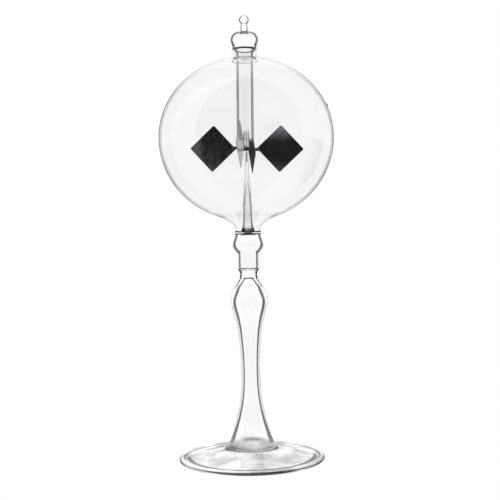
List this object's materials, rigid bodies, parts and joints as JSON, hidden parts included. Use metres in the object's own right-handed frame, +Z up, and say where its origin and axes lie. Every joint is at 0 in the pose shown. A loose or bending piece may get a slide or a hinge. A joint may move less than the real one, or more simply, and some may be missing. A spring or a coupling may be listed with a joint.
{
  "type": "radiometer",
  "caption": "All-glass light-mill: blown globe on a baluster stem and round foot, with diamond vanes, black on one face, turning on a needle.",
  "frame": {"origin": "centre of the foot's ground rim, on the surface that it stands on", "axes": "+Z up along the glass axis, through the needle's point; -Y is the side seen in use, +X has the seal-off tip"},
  "size_m": [0.0942, 0.0942, 0.24],
  "materials": {
    "clear_glass": "fire-polished clear blown glass",
    "mica": "silvery mica, faintly streaked",
    "lampblack": "matt soot coat",
    "steel_needle": "polished steel",
    "dark_wire": "dark drawn wire",
    "clip_metal": "thin folded sheet"
  },
  "bodies": {
    "glass_body": {"foot_disc": "clear_glass", "stem": "clear_glass", "stem_plug": "clear_glass", "neck_tube": "clear_glass", "knop": "clear_glass", "spindle_seal": "clear_glass", "globe": "clear_glass", "seal_off_tip": "clear_glass", "top_collar": "clear_glass", "top_cap": "clear_glass", "finial": "clear_glass", "guide_tube": "clear_glass", "spindle": "clear_glass", "needle": "steel_needle"},
    "rotor": {"bearing_cup": "clear_glass", "hub_band": "dark_wire", "arm_1": "dark_wire", "clip_1": "clip_metal", "vane_1": "mica", "soot_1": "lampblack", "arm_2": "dark_wire", "clip_2": "clip_metal", "vane_2": "mica", "soot_2": "lampblack", "arm_3": "dark_wire", "clip_3": "clip_metal", "vane_3": "mica", "soot_3": "lampblack", "arm_4": "dark_wire", "clip_4": "clip_metal", "vane_4": "mica", "soot_4": "lampblack"}
  },
  "joints": [
    {"name": "rotor_spin", "type": "hinge", "parent": "glass_body", "child": "rotor", "pos_m": [0, 0, 0.1762], "axis": [0, 0, 1], "continuous": true}
  ]
}
